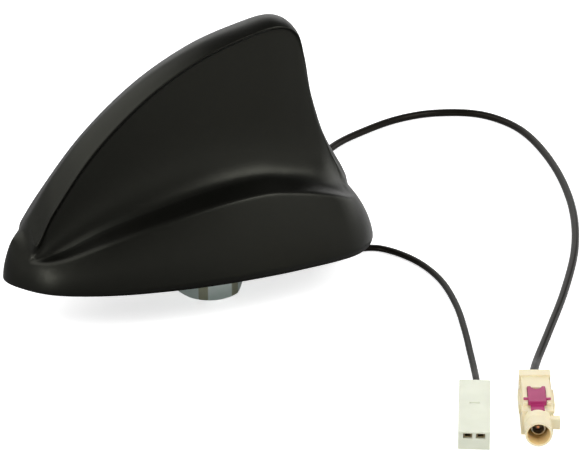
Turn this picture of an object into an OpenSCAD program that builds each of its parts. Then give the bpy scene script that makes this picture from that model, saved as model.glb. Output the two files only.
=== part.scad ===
// Shark fin roof aerial, standing on its fixing nut, with a coaxial lead and a thin two-core lead
// X runs from the nose to the tail, Y across and Z up
// The origin is where the stud's axis meets the roof plane, which is the underside of the seal

/* [Fin housing] */
// Length of the housing from nose to tail
fin_length = 134.2; // [126:0.2:150]
// Widest width of the housing, at its rim
fin_width = 60; // [56:1:72]
// Height of the ridge above the roof
fin_height = 84.2; // [78:0.2:96]
// Distance from the nose to the stud's axis
nose_to_stud = 75; // [70:1:80]
// Thickness of the blade at half its height, over the raised band
blade_width = 12.6; // [11.6:0.2:16]
// Wall thickness of the housing
wall = 2.2; // [1.6:0.1:2.6]
// Depth of the recessed flank below the raised band
recess_depth = 1.2; // [0.6:0.1:1.8]
// Width of the step between the raised band and the recess
step_width = 1.9; // [1.4:0.1:2.6]
// Bulge of the skirt between the shoulder crest and the rim
skirt_bulge = 1; // [0:0.1:2]
// Gap between the housing's rim and the roof
rim_gap = 0.8; // [0.4:0.1:1.4]
// Diameter of a screw boss inside the housing
boss_d = 5.6; // [5:0.2:7]

/* [Base] */
// Thickness of the rubber seal
seal_t = 2.5; // [2:0.1:3.5]
// Thickness of the die-cast base plate
plate_t = 3; // [2:0.1:4]
// Clearance between the base plate and the housing
plate_gap = 0.4; // [0.2:0.1:0.8]
// Height of the standoffs that carry the circuit board
standoff_h = 3.5; // [3:0.1:5]
// Diameter of a standoff
standoff_d = 6; // [5:0.2:7]

/* [Stud and nut] */
// Diameter of the mounting stud
stud_d = 14; // [12:0.5:16]
// Reach of the stud below the roof plane
stud_reach = 15; // [14:0.5:15.5]
// Diameter of the stud's flange, above the base plate
stud_flange_d = 20; // [18:0.5:22]
// Thickness of the stud's flange
stud_flange_t = 2; // [1:0.1:2.5]
// Width across the flats of the nut
nut_flats = 22; // [20:0.5:24]
// Diameter of the round bar that the nut is cut from
nut_round = 24; // [23:0.5:26]
// Height of the nut
nut_h = 10; // [8:0.5:12]
// Height of the chamfer at each end of the nut
nut_chamfer = 0.8; // [0.4:0.1:1.2]
// Depth of the nut's lower face below the roof plane, which is the table's height
nut_depth = 16; // [16:0.5:18]
// Diameter of the toothed washer above the nut
washer_d = 25; // [24:0.5:28]
// Thickness of the toothed washer
washer_t = 1.5; // [1:0.1:2]
// Number of the washer's teeth
washer_teeth = 16; // [12:1:20]

/* [Screws] */
// Diameter of the four housing screws
case_screw_d = 2.5; // [2:0.1:3]
// Length of a housing screw below its head
case_screw_len = 9; // [8:0.5:10]
// Distance of a housing screw from the crest of the shoulder
case_screw_inset = 6; // [5:0.5:7]
// Diameter of the four board screws
board_screw_d = 2; // [1.6:0.1:2.4]
// Length of a board screw below its head
board_screw_len = 5; // [4:0.5:6]

/* [Electronics] */
// Space between the nose and the front edge of the main circuit board
board_nose_gap = 41; // [38:1:44]
// Space between the rear edge of the main circuit board and the tail
board_tail_gap = 17.2; // [16:0.2:20]
// Width of the main circuit board
board_w = 30; // [29:1:32]
// Thickness of the main circuit board
board_t = 1.6; // [1:0.1:2]
// Side of the square ceramic patch antenna
patch_side = 25; // [20:1:25]
// Height of the ceramic patch antenna
patch_t = 4; // [2:0.5:4]
// Thickness of the upright antenna board
mast_t = 1.2; // [0.8:0.1:1.6]
// Space between the upright board's edge and the inside of the ridge
mast_gap = 1; // [0.8:0.1:2]
// Length of the bracket that holds the upright board
bracket_l = 18; // [14:1:20]
// Height of the shield can
can_h = 3; // [2:0.1:3.4]

/* [Leads] */
// Diameter of the coaxial lead
coax_d = 2.8; // [2.4:0.1:3]
// Diameter of the thin two-core lead
signal_d = 2.3; // [2:0.1:2.5]
// Diameter of the grommet where the leads leave the base
grommet_d = 14; // [13:0.5:15]
// Reach of the grommet below the roof plane
grommet_reach = 2.5; // [2:0.5:3]

/* [Coaxial plug] */
// Length of the plug, from its rear face to its mouth
plug_l = 33.8; // [32:0.2:38]
// Length of the plug's square body
plug_body_l = 24.3; // [23:0.1:25]
// Width of the plug's body
plug_w = 10.4; // [9.8:0.1:12]
// Height of the plug's body
plug_h = 11; // [10.4:0.1:12]
// Outside diameter of the plug's barrel
barrel_d = 8.9; // [8.5:0.1:9.5]
// Inside diameter of the plug's barrel
mouth_d = 7.5; // [7.1:0.1:7.7]
// Length of the plain barrel ahead of the keys
barrel_free = 5.3; // [4:0.1:6]
// Reach of the side key from the barrel's axis
key_reach = 7.3; // [6.8:0.1:8]
// Outside diameter of the metal shell tube in the barrel
shell_d = 4.6; // [4.2:0.1:5]
// Length of the lock on top of the plug
lock_l = 14; // [12:0.5:14.5]
// Width of the lock
lock_w = 5.9; // [5:0.1:6.5]

/* [Two-way socket] */
// Length of the socket housing
socket_l = 35; // [32:0.5:40]
// Width of the socket housing
socket_w = 10.4; // [10:0.1:12]
// Height of the socket housing
socket_h = 6.7; // [6.5:0.1:8]
// Width of one blade slot
slot_w = 3; // [2.8:0.1:3.4]

/* [Hidden] */
// Running and seating clearance between pieces
fit = 0.15;
// Length by which a cut runs past the faces that it opens
over = 1;
$fn = 48;

// Heights of the layers, from the roof plane up and down
table_z = -nut_depth;
plate_z = seal_t;
plate_top = plate_z + plate_t;
board_z = plate_top + standoff_h;
board_top = board_z + board_t;
nut_top = table_z + nut_h;

// Nose and tail of the housing
nose_x = -nose_to_stud;
tail_x = fin_length - nose_to_stud;

// Guide curves of the housing: along is a percentage of the length from the nose, up of the height,
// across a percentage of half the width at the rim, and thick one of half the blade's thickness
// Ridge: along, up
ridge_guide = [
    [3, 20.8], [7, 27.3], [13.7, 43.5], [24.1, 62.8], [38.1, 80.9], [52.9, 93.1], [65.6, 98.6],
    [73.8, 100], [79.4, 94.2], [81.9, 81.4], [83.8, 64.1], [87.2, 45.7], [92.8, 27.9]];
// Lower edge of the raised band: along, thick, up
crease_guide = [
    [1.9, 0, 15.7], [6.6, 143, 15.4], [11.5, 130, 28.1], [22.4, 114, 51.1], [36.1, 105, 71.5],
    [50.7, 97, 86], [64.8, 90, 94.1], [73.8, 86, 96.2], [78, 80, 92.6], [80, 73, 80.8],
    [82, 72, 62.5], [87.4, 66, 41], [93.3, 0, 26.6]];
// Crest of the shoulder: along, across, up
crest_guide = [
    [1.2, 0, 12.1], [5.7, 33.3, 12.4], [12.3, 52.7, 14.5], [23.8, 67.3, 21.1], [38, 74, 27.4],
    [52.9, 75.7, 32.2], [65.6, 74, 33.6], [73.8, 71.7, 31.7], [80.5, 69.7, 29.1], [86.4, 66.7, 25.9],
    [91.3, 56.7, 22.4], [94, 35, 19.8], [95.8, 0, 18.1]];
// Rim: along, across
rim_guide = [
    [0, 0], [3, 29.7], [10.1, 59.3], [23.1, 82], [38, 94.7], [52.9, 100], [66.3, 97.7],
    [76, 92.3], [84.2, 87.7], [90.5, 80.7], [95.6, 64], [98.8, 35], [100, 0]];
// Cove at each guide point, in millimetres: height of its top above the crest, reach of the level shoulder
cove_guide = [
    [0, 0], [1.6, 0.4], [8.5, 1.5], [15.5, 3], [18.5, 3.6], [18.5, 3.6], [18.5, 3.4], [18.5, 3.4], [19, 3.6],
    [19.5, 3.4], [19, 2.6], [13, 1.5], [3, 0]];
shoulder_rise = 0.25;

// Sampling of the housing's skins: rows across the band, the step, the flank, the cove, the shoulder
// and the skirt
knots = len(ridge_guide) - 1;
knot_steps = 4;
outer_parts = [8, 3, 3, 10, 2, 6];
inner_parts = [3, 0, 2, 3, 0, 3];

// Housing screws stand inside the crest of the shoulder, at these guide points
case_screw_stations = [2.7, 10];
case_head_d = 2.2 * case_screw_d;
case_head_h = 1.6;
head_clear = 0.5;
rib_t = 1.4;
rib_reach = 5;
rib_foot = 3;
disc_h = 1;

// Circuit board, and its screws at the corners
board_from = nose_x + board_nose_gap;
board_to = tail_x - board_tail_gap;
board_corner = 2;
board_head_d = 2.3 * board_screw_d;
board_head_h = 1.6;
board_screw_in = [4, 3.5];
board_screws_at = [for (x = [board_from + board_screw_in[0], board_to - board_screw_in[0]], side = [-1, 1])
    [x, side * (board_w / 2 - board_screw_in[1])]];

// Places on the board: the patch follows the front screws, the bracket and the can follow the patch
part_gap = 1.2;
patch_from = board_from + board_screw_in[0] + board_head_d / 2 + part_gap;
patch_to = patch_from + patch_side;
patch_x = patch_from + patch_side / 2;
patch_top = board_top + patch_t;
patch_corner = 1;
electrode_in = 2.5;
electrode_t = 0.2;
feed_d = 1.2;
feed_head_h = 0.3;
feed_tail = 0.8;
feed_at = [patch_x + 2, 0];
bracket_x = (patch_to + board_to) / 2;
bracket_floor = 0.8;
bracket_wall = 2.4;
bracket_h = 5;
mast_neck = 9;
can_gap = 2.5;
can_from = [patch_to + can_gap, mast_t / 2 + bracket_wall + can_gap];
can_to = [board_to - board_screw_in[0] - board_head_d / 2 - can_gap, board_w / 2 - part_gap];

// Face of the nut inside its chamfer, the stud's hole in the seal, and the washer's teeth
nut_face_in = 0.6;
seal_clear = 2;
tooth_depth = 1.2;
tooth_gap = 1.8;

// Grommet, with a flange on the plate and one bore for each lead
grommet_lip = 1.5;
grommet_lip_t = 1.4;
grommet_x = 24;
coax_at = [grommet_x, 3.2];
signal_at = [grommet_x, -3.4];
lead_gap = 0.25;

// Places of the connectors on the table: centre of the rear face, and the way that the mouth faces
plug_at = [74.7, -113.6];
plug_turn = -111;
socket_at = [56.5, -105.9];
socket_turn = -113.2;

// Coaxial plug: lengths from its rear face, heights above its lower face
deck_drop = 2;
deck_in = 0.6;
deck_h = 1.4;
deck_back = 3;
rear_step_l = 3.8;
cheek_from = 9;
cheek_l = 10;
cheek_z = 5;
cheek_h = 3.5;
cheek_out = 0.7;
barrel_z = plug_h / 2;
barrel_root = 1;
collar_out = 0.1;
key_l = 2.6;
key_back = 0.7;
key_z = 4;
key_h = 3.8;
foot_key_z = 1.6;
foot_key_t = 0.9;
foot_key_h = 1.2;
mouth_in = 2;
ferrule_from = 2;
ferrule_t = 0.4;
shell_wall = 0.35;
shell_from = plug_body_l - 12;
shell_to = plug_l - 4;
insulator_back = 3;
pin_d = 1;
pin_back = 1;
lock_from = 11.2;
lock_t = 1.6;
lock_tail_l = 3.6;
lock_tail_in = 0.7;
lock_tail_t = 0.5;
lock_notch_d = 3.6;
lock_arm_from = 18.7;
lock_arm_l = 1;
lock_arm_w = 9;
lock_arm_t = 0.6;

// Two-way socket: lengths from its rear face, heights above its lower face
slot_from = 6;
slot_h = 2;
slot_z = 4;
slot_y = 2.1;
entry_l = 4;
entry_y = 0.65;
mark_from = 15.2;
mark_l = 1.2;
mark_w = 3.4;
mark_deep = 0.4;
terminal_from = 8;
terminal_back = 1;
terminal_lift = 0.1;
terminal_t = 0.4;

// Route of the coaxial lead's centre line, chosen by hand
coax_route = [
    [24, 3.2, 9], [24, 3.2, 3], [24, 3.2, -2.6], [24.9, 4.5, -8.6], [27.5, 8.1, -12.9], [31.1, 12.9, -14.4],
    [42, 28, -14.6],
    [54, 51, -14.6], [67, 74, -14.6], [81.5, 88.7, -14.6], [97.5, 97, -14.6], [113, 102, -14.6],
    [128, 102, -14.6], [143, 95.5, -14.6], [151.5, 82, -14.6], [153.7, 64, -14.6], [151, 37, -14.6],
    [143.5, 7.5, -14.6], [131.5, -21, -14.6], [115, -49, -14.6], [98, -74, -14.6], [86, -91.6, -14],
    [80.3, -101.5, -11.8], [76.9, -108, -10.5], [74.7, -113.6, -10.5]];
// Route of the thin lead's centre line, chosen by hand
signal_route = [
    [24, -3.4, 9], [24, -3.4, 2], [24, -3.4, -4.5], [27, -2.5, -10], [34, 0.5, -14], [48, 5, -14.85],
    [62, 6, -14.85], [69.5, 0.5, -14.85], [75.3, -11.5, -14.85], [77.3, -27, -14.85],
    [75.2, -45.5, -14.85], [71, -63, -14.85], [66.2, -79.6, -14.85], [62.4, -92, -14.2],
    [59.4, -100.6, -12.9], [57.1, -106.2, -12.65]];

function unit(v) = v / norm(v);
function mirrored(p) = [p[0], -p[1], p[2]];
function mix(a, b, t) = a + (b - a) * t;
function smooth(a, b, x) = let (t = min(1, max(0, (x - a) / (b - a)))) t * t * (3 - 2 * t);

// Catmull-Rom curve between b and c
function spline(a, b, c, d, t) =
    0.5 * (2 * b + (c - a) * t + (2 * a - 5 * b + 4 * c - d) * t * t + (3 * b - a - 3 * c + d) * t * t * t);

// Point at parameter s on a list of points, where before and after continue the curve past its ends
function along(points, s, before, after) =
    let (n = len(points) - 1, i = min(n - 1, floor(s)))
    spline(i == 0 ? before : points[i - 1], points[i], points[i + 1],
        i == n - 1 ? after : points[i + 2], s - i);

// Guide points in millimetres, on the side of negative Y
function place_x(percent) = fin_length * percent / 100 - nose_to_stud;
ridge_points = [for (g = ridge_guide) [place_x(g[0]), 0, fin_height * g[1] / 100]];
crease_points = [for (g = crease_guide)
    [place_x(g[0]), -blade_width / 2 * g[1] / 100, fin_height * g[2] / 100]];
crest_points = [for (g = crest_guide)
    [place_x(g[0]), -fin_width / 2 * g[1] / 100, fin_height * g[2] / 100]];
rim_points = [for (g = rim_guide) [place_x(g[0]), -fin_width / 2 * g[1] / 100, rim_gap]];

// A guide curve that crosses the centre plane squarely at the nose and the tail
function across_curve(points, s) = along(points, s, mirrored(points[1]), mirrored(points[knots - 1]));
function ridge(s) = along(ridge_points, s, 2 * ridge_points[0] - ridge_points[1],
    2 * ridge_points[knots] - ridge_points[knots - 1]);
function ridge_inward(s) =
    let (t = unit(ridge(min(knots, s + 0.05)) - ridge(max(0, s - 0.05)))) [t[2], 0, -t[0]];

// Horizontal direction from the rim towards the blade
function inward(s) = let (d = ridge(s) - across_curve(rim_points, s)) unit([d[0], d[1], 0]);

// Point on the skirt, from the crest at t = 0 to the rim at t = 1, moved in by inset
function skirt_point(s, inset, t) =
    let (crest = across_curve(crest_points, s) + 0.9 * inset * inward(s) - [0, 0, inset],
        rim = across_curve(rim_points, s) + inset * inward(s))
    crest + (rim - crest) * t - inward(s) * skirt_bulge * (0.3 + 0.7 * smooth(0, 3, s)) * 4 * t * (1 - t);

// Point on the skirt at a height
function skirt_at(s, inset, z) =
    let (top = skirt_point(s, inset, 0)[2]) skirt_point(s, inset, (top - z) / (top - rim_gap));

// One section of a skin from the ridge to the rim, moved in by inset: the raised band, the step into the
// recess, the flank, the cove, the nearly level shoulder, its crest and the skirt
function section(s, inset, parts) =
    let (inner = inward(s),
        top = ridge(s) + inset * ridge_inward(s),
        crease = across_curve(crease_points, s) + inset * inner,
        present = smooth(0.5, 1.8, s) * (1 - smooth(7.6, 9.4, s)),
        climb = [ridge(s)[0] - crease[0], 0, ridge(s)[2] - crease[2]],
        rise = min(step_width * (0.25 + 0.75 * present), 0.28 * norm(climb)) * unit(climb),
        edge = crease - 0.35 * recess_depth * present * inner + rise,
        foot = crease + 0.65 * recess_depth * present * inner - 0.2 * rise,
        brow = [top[0], mix(top[1], edge[1], 0.62), mix(top[2], edge[2], 0.1)],
        crest = skirt_point(s, inset, 0),
        drop = foot[2] - crest[2],
        cove = along(cove_guide, s, cove_guide[0], cove_guide[knots]),
        tall = min(cove[0], 0.7 * drop),
        level = min(cove[1], 0.4 * norm([foot[0] - crest[0], foot[1] - crest[1]])),
        straight = max(smooth(10.2, knots, s), 1 - smooth(0.5, 1.5, s)),
        cove_top = mix(foot - (drop - tall) * ([0, 0, 1] + 0.06 * inner),
            mix(foot, crest, 1 - tall / drop), straight),
        cove_foot = crest + level * (inner + [0, 0, shoulder_rise]),
        high = cove_top[2] - cove_foot[2],
        wide = norm([cove_top[0] - cove_foot[0], cove_top[1] - cove_foot[1]]),
        pull_a = mix(cove_top - high * ([0, 0, 0.552] + 0.04 * inner),
            mix(cove_top, cove_foot, 1 / 3), straight),
        pull_b = mix(cove_foot + 0.552 * wide * (inner + [0, 0, shoulder_rise / 2]),
            mix(cove_top, cove_foot, 2 / 3), straight))
    concat(
        [for (t = part_steps(parts[0])) mix(mix(top, brow, t), mix(brow, edge, t), t)],
        [for (t = part_steps(parts[1])) mix(edge, foot, t)],
        [for (t = part_steps(parts[2])) mix(foot, cove_top, t)],
        [for (t = part_steps(parts[3]))
            let (a = mix(cove_top, pull_a, t), b = mix(pull_a, pull_b, t), c = mix(pull_b, cove_foot, t))
            mix(mix(a, b, t), mix(b, c, t), t)],
        [for (t = part_steps(parts[4])) mix(cove_foot, crest, t)],
        [for (i = [0:parts[5]]) skirt_point(s, inset, i / parts[5])]);

// Parameters of the rows across one part, without its end
function part_steps(count) = count == 0 ? [] : [for (i = [0:count - 1]) i / count];

// Section of both sides, from the rim of one side over the ridge to the rim of the other
function full_section(s, inset, parts) =
    let (half = section(s, inset, parts), last = len(half) - 1)
    concat([for (i = [last:-1:0]) half[i]], [for (i = [1:last]) mirrored(half[i])]);

// Two triangles for each cell of a grid of points, with count points in each line
function grid_faces(lines, count, start, flip) =
    [for (i = [0:lines - 2], j = [0:count - 2])
        let (a = start + i * count + j, b = a + 1, c = a + count + 1, d = a + count)
        each (flip ? [[a, c, b], [a, d, c]] : [[a, b, c], [a, c, d]])];

// Wall of the rim between the two skins, whose edge points are given as the first one and the step
function rim_faces(lines, outer_edge, inner_edge, flip) =
    [for (i = [0:lines - 2])
        let (a = outer_edge[0] + i * outer_edge[1], b = a + outer_edge[1],
            d = inner_edge[0] + i * inner_edge[1], c = d + inner_edge[1])
        each (flip ? [[a, c, b], [a, d, c]] : [[a, b, c], [a, c, d]])];

module housing_shell() {
    lines = knots * knot_steps + 1;
    outer = [for (i = [0:lines - 1]) full_section(i / knot_steps, 0, outer_parts)];
    inner = [for (i = [0:lines - 1]) full_section(i / knot_steps, wall, inner_parts)];
    wide = len(outer[0]);
    thin = len(inner[0]);
    start = lines * wide;
    polyhedron(concat([for (line = outer) each line], [for (line = inner) each line]), concat(
        grid_faces(lines, wide, 0, false),
        grid_faces(lines, thin, start, true),
        rim_faces(lines, [0, wide], [start, thin], false),
        rim_faces(lines, [wide - 1, wide], [start + thin - 1, thin], true)));
}

// Closed outline of the inside of the skirt at a height, with a clearance
function inside_outline(gap, z) =
    let (half = [for (i = [0:knots * 3]) skirt_at(i / 3, wall + gap, z)])
    concat([for (p = half) [p[0], p[1]]],
        [for (i = [knots * 3 - 1:-1:1]) [half[i][0], -half[i][1]]]);

// Axis and top of each screw boss, whose top lies inside the wall of the shoulder
case_screws = [for (s = case_screw_stations, side = [-1, 1])
    let (crest = across_curve(crest_points, s))
    [crest[0], side * (-crest[1] - case_screw_inset), crest[2] - 0.4 * wall]];

module slab(length, width, height, radius) {
    translate([-length / 2 + radius, -width / 2, 0]) cube([length - 2 * radius, width, height]);
    translate([-length / 2, -width / 2 + radius, 0]) cube([length, width - 2 * radius, height]);
    for (sx = [-1, 1], sy = [-1, 1])
        translate([sx * (length / 2 - radius), sy * (width / 2 - radius), 0])
            cylinder(h = height, r = radius);
}

module at_points(points) {
    for (p = points) translate([p[0], p[1], 0]) children();
}

// Tube swept along a route, with sides flats and a ring about every pitch
module lead(route, diameter, pitch) {
    sides = 8;
    last = len(route) - 1;
    before = 2 * route[0] - route[1];
    after = 2 * route[last] - route[last - 1];
    stops = concat([for (i = [0:last - 1])
        let (n = max(1, round(norm(route[i + 1] - route[i]) / pitch)))
        each [for (k = [0:n - 1]) i + k / n]], [last]);
    centres = [for (s = stops) along(route, s, before, after)];
    ways = [for (s = stops)
        unit(along(route, min(last, s + 0.02), before, after)
            - along(route, max(0, s - 0.02), before, after))];
    norms = [for (i = 0, n = [1, 0, 0]; i < len(stops);
        i = i + 1, n = i < len(stops) ? unit(n - (n * ways[i]) * ways[i]) : n) n];
    points = [for (i = [0:len(stops) - 1], k = [0:sides - 1])
        let (a = 360 * k / sides)
        centres[i] + diameter / 2 * (cos(a) * norms[i] + sin(a) * cross(ways[i], norms[i]))];
    walls = [for (i = [0:len(stops) - 2], k = [0:sides - 1])
        let (a = i * sides + k, b = i * sides + (k + 1) % sides)
        each [[a, b + sides, b], [a, a + sides, b + sides]]];
    start = [[for (k = [0:sides - 1]) k]];
    end = [[for (k = [sides - 1:-1:0]) (len(stops) - 1) * sides + k]];
    polyhedron(points, concat(walls, start, end));
}

module on_plug() {
    translate([plug_at[0], plug_at[1], table_z]) rotate([0, 0, plug_turn]) children();
}

module on_socket() {
    translate([socket_at[0], socket_at[1], table_z]) rotate([0, 0, socket_turn]) children();
}

// Cylinder along the connector's own X
module rod(from, to, diameter) {
    translate([from, 0, 0]) rotate([0, 90, 0]) cylinder(h = to - from, d = diameter);
}

module housing() color("#242426") {
    difference() {
        union() {
            housing_shell();
            for (p = case_screws) {
                hull() {
                    translate([p[0], p[1], plate_top]) cylinder(h = disc_h, d = boss_d);
                    translate([p[0], p[1], p[2] - disc_h]) cylinder(h = disc_h, d = 1.1 * boss_d);
                }
                // Gusset from the boss to the skirt
                hull() {
                    translate([p[0], p[1], plate_top + rib_foot]) cylinder(h = disc_h, d = rib_t);
                    translate([p[0], p[1], p[2] - 2 * disc_h]) cylinder(h = disc_h, d = rib_t);
                    translate([p[0], p[1] + rib_reach * sign(p[1]), p[2] - 2 * disc_h])
                        cylinder(h = disc_h, d = rib_t);
                }
            }
        }
        at_points(case_screws) translate([0, 0, plate_top - over])
            cylinder(h = case_screw_len - plate_t + 2 * over, d = case_screw_d + 2 * fit, $fn = 24);
    }
}

module base_plate() color("#a9abac") {
    difference() {
        union() {
            translate([0, 0, plate_z]) linear_extrude(plate_t)
                polygon(inside_outline(plate_gap, plate_top));
            at_points(board_screws_at) translate([0, 0, plate_top]) cylinder(h = standoff_h, d = standoff_d);
        }
        translate([0, 0, plate_z - over]) cylinder(h = plate_t + 2 * over, d = stud_d + 2 * fit);
        translate([grommet_x, 0, plate_z - over])
            cylinder(h = plate_t + 2 * over, d = grommet_d + 2 * fit);
        at_points(case_screws) translate([0, 0, plate_z - over])
            cylinder(h = plate_t + 2 * over, d = case_screw_d + 2 * fit);
        at_points(board_screws_at) translate([0, 0, board_top - board_screw_len - fit])
            cylinder(h = board_screw_len + over, d = board_screw_d + 2 * fit);
    }
}

module base_seal() color("#1b1b1c") {
    difference() {
        linear_extrude(seal_t) polygon(inside_outline(plate_gap, plate_top));
        translate([0, 0, -over]) cylinder(h = seal_t + 2 * over, d = stud_d + 2 * seal_clear);
        translate([grommet_x, 0, -over]) cylinder(h = seal_t + 2 * over, d = grommet_d + 2 * fit);
        at_points(case_screws) translate([0, 0, -over])
            cylinder(h = seal_t + 2 * over, d = case_head_d + 2 * head_clear);
    }
}

module mounting_stud() color("#b9bcc0") {
    translate([0, 0, plate_top]) cylinder(h = stud_flange_t, d = stud_flange_d);
    translate([0, 0, -stud_reach]) cylinder(h = stud_reach + plate_top, d = stud_d);
}

module toothed_washer() color("#aeb1b5") {
    difference() {
        translate([0, 0, nut_top]) cylinder(h = washer_t, d = washer_d);
        translate([0, 0, nut_top - over]) cylinder(h = washer_t + 2 * over, d = stud_d + 2 * fit);
        for (i = [0:washer_teeth - 1]) rotate([0, 0, 360 * i / washer_teeth])
            translate([washer_d / 2 - tooth_depth, -tooth_gap / 2, nut_top - over])
                cube([tooth_depth + over, tooth_gap, washer_t + 2 * over]);
    }
}

module hex_nut() color("#b4b8bd") {
    difference() {
        intersection() {
            translate([0, 0, table_z]) {
                cylinder(h = nut_chamfer, d1 = nut_flats - nut_face_in, d2 = nut_round);
                translate([0, 0, nut_chamfer]) cylinder(h = nut_h - 2 * nut_chamfer, d = nut_round);
                translate([0, 0, nut_h - nut_chamfer])
                    cylinder(h = nut_chamfer, d1 = nut_round, d2 = nut_flats - nut_face_in);
            }
            translate([0, 0, table_z - over])
                cylinder(h = nut_h + 2 * over, d = nut_flats / cos(30), $fn = 6);
        }
        translate([0, 0, table_z - over]) cylinder(h = nut_h + 2 * over, d = stud_d + 2 * fit);
    }
}

module housing_screws() color("#b4b8bd") {
    at_points(case_screws) {
        translate([0, 0, plate_z - case_head_h]) cylinder(h = case_head_h, d = case_head_d);
        translate([0, 0, plate_z]) cylinder(h = case_screw_len, d = case_screw_d);
    }
}

module circuit_board() color("#1f5c3a") {
    difference() {
        translate([(board_from + board_to) / 2, 0, board_z])
            slab(board_to - board_from, board_w, board_t, board_corner);
        at_points(board_screws_at) translate([0, 0, board_z - over])
            cylinder(h = board_t + 2 * over, d = board_screw_d + 2 * fit);
        at_points([feed_at]) translate([0, 0, board_z - over])
            cylinder(h = board_t + 2 * over, d = feed_d + 2 * fit);
    }
}

module board_screws() color("#b4b8bd") {
    at_points(board_screws_at) {
        translate([0, 0, board_top]) cylinder(h = board_head_h, d = board_head_d);
        translate([0, 0, board_top - board_screw_len]) cylinder(h = board_screw_len, d = board_screw_d);
    }
}

module shield_can() color("#c9ccd0") {
    translate([can_from[0], can_from[1], board_top])
        cube([can_to[0] - can_from[0], can_to[1] - can_from[1], can_h]);
}

module patch_antenna() color("#cfc5a8") {
    difference() {
        translate([patch_x, 0, board_top]) slab(patch_side, patch_side, patch_t, patch_corner);
        at_points([feed_at]) translate([0, 0, board_top - over])
            cylinder(h = patch_t + 2 * over, d = feed_d + 2 * fit);
    }
}

module patch_electrode() color("#d6d6d2") {
    difference() {
        translate([patch_from + electrode_in, electrode_in - patch_side / 2, patch_top])
            cube([patch_side - 2 * electrode_in, patch_side - 2 * electrode_in, electrode_t]);
        at_points([feed_at]) translate([0, 0, patch_top - over])
            cylinder(h = electrode_t + 2 * over, d = feed_d + 2 * fit);
    }
}

module patch_feed_pin() color("#c98b4a") {
    at_points([feed_at]) {
        translate([0, 0, board_z - feed_tail])
            cylinder(h = patch_top + electrode_t - board_z + feed_tail, d = feed_d);
        translate([0, 0, patch_top + electrode_t]) cylinder(h = feed_head_h, d = 2 * feed_d);
    }
}

module mast_board() color("#2b6a45") {
    inset = wall + mast_gap;
    edge = [for (i = [0:20]) let (s = mix(4.6, 10.9, i / 20)) ridge(s) + inset * ridge_inward(s)];
    foot_z = board_top + bracket_floor;
    translate([0, mast_t / 2, 0]) rotate([90, 0, 0]) linear_extrude(mast_t)
        polygon(concat([for (p = edge) [p[0], p[2]]],
            [for (c = [[1, mast_neck], [1, 0], [-1, 0], [-1, mast_neck]])
                [bracket_x + c[0] * bracket_l / 2, foot_z + c[1]]]));
}

module mast_bracket() color("#3a3a3c") {
    difference() {
        translate([bracket_x - bracket_l / 2, -bracket_wall - mast_t / 2, board_top])
            cube([bracket_l, 2 * bracket_wall + mast_t, bracket_h]);
        translate([bracket_x - bracket_l / 2 - over, -mast_t / 2 - fit, board_top + bracket_floor])
            cube([bracket_l + 2 * over, mast_t + 2 * fit, bracket_h]);
    }
}

module cable_grommet() color("#202022") {
    difference() {
        union() {
            translate([grommet_x, 0, plate_top])
                cylinder(h = grommet_lip_t, d = grommet_d + 2 * grommet_lip);
            translate([grommet_x, 0, -grommet_reach]) cylinder(h = plate_top + grommet_reach, d = grommet_d);
        }
        for (bore = [[coax_at, coax_d], [signal_at, signal_d]])
            translate([bore[0][0], bore[0][1], -grommet_reach - over])
                cylinder(h = plate_top + grommet_lip_t + grommet_reach + 2 * over, d = bore[1] + 2 * lead_gap);
    }
}

module coax_lead() color("#2c2c2e") lead(coax_route, coax_d, 7);

module signal_lead() color("#2c2c2e") lead(signal_route, signal_d, 5.5);

module coax_plug_body() color("#efe6c8") on_plug() {
    key_from = plug_l - barrel_free - key_back - key_l;
    difference() {
        union() {
            translate([0, -plug_w / 2, 0]) cube([plug_body_l, plug_w, plug_h - deck_drop]);
            // Top deck, narrower than the body, with a raised rear step
            translate([0, deck_in - plug_w / 2, plug_h - deck_drop])
                cube([plug_body_l - deck_back, plug_w - 2 * deck_in, deck_h]);
            translate([0, -plug_w / 2, plug_h - deck_drop]) cube([rear_step_l, plug_w, deck_drop]);
            // Cheeks that swell out beside the lock
            translate([cheek_from, -plug_w / 2 - cheek_out, cheek_z])
                cube([cheek_l, plug_w + 2 * cheek_out, cheek_h]);
            translate([0, 0, barrel_z]) rod(plug_body_l - barrel_root, plug_l, barrel_d);
            translate([0, 0, barrel_z])
                rod(plug_body_l - barrel_root, plug_l - barrel_free, barrel_d + 2 * collar_out);
            // Side key, and the small key low on the barrel's root
            translate([key_from, 0, key_z]) cube([key_l, key_reach, key_h]);
            translate([plug_body_l - barrel_root, barrel_d / 2 - foot_key_t, foot_key_z])
                cube([key_from + key_l - plug_body_l + barrel_root, foot_key_t, foot_key_h]);
        }
        translate([0, 0, barrel_z]) {
            rod(shell_from, plug_l + over, shell_d + 2 * fit);
            rod(plug_body_l - mouth_in, plug_l + over, mouth_d);
            rod(ferrule_from, shell_from + over, shell_d + 2 * ferrule_t + 2 * fit);
            rod(-over, ferrule_from + over, coax_d + 2 * lead_gap);
        }
        translate([lock_from - fit, -lock_w / 2 - fit, plug_h - lock_t])
            cube([lock_l + 2 * fit, lock_w + 2 * fit, lock_t + over]);
    }
}

module coax_plug_lock() color("#b03a72") on_plug() {
    lock_z = plug_h - lock_t;
    difference() {
        union() {
            translate([lock_from, -lock_w / 2, lock_z]) cube([lock_l - lock_tail_l, lock_w, lock_t]);
            translate([lock_from + lock_l - lock_tail_l, lock_tail_in - lock_w / 2, lock_z])
                cube([lock_tail_l, lock_w - 2 * lock_tail_in, lock_tail_t]);
            translate([lock_arm_from, -lock_arm_w / 2, plug_h - lock_arm_t])
                cube([lock_arm_l, lock_arm_w, lock_arm_t]);
        }
        translate([lock_from, 0, lock_z - over]) cylinder(h = lock_t + 2 * over, d = lock_notch_d);
    }
}

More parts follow.
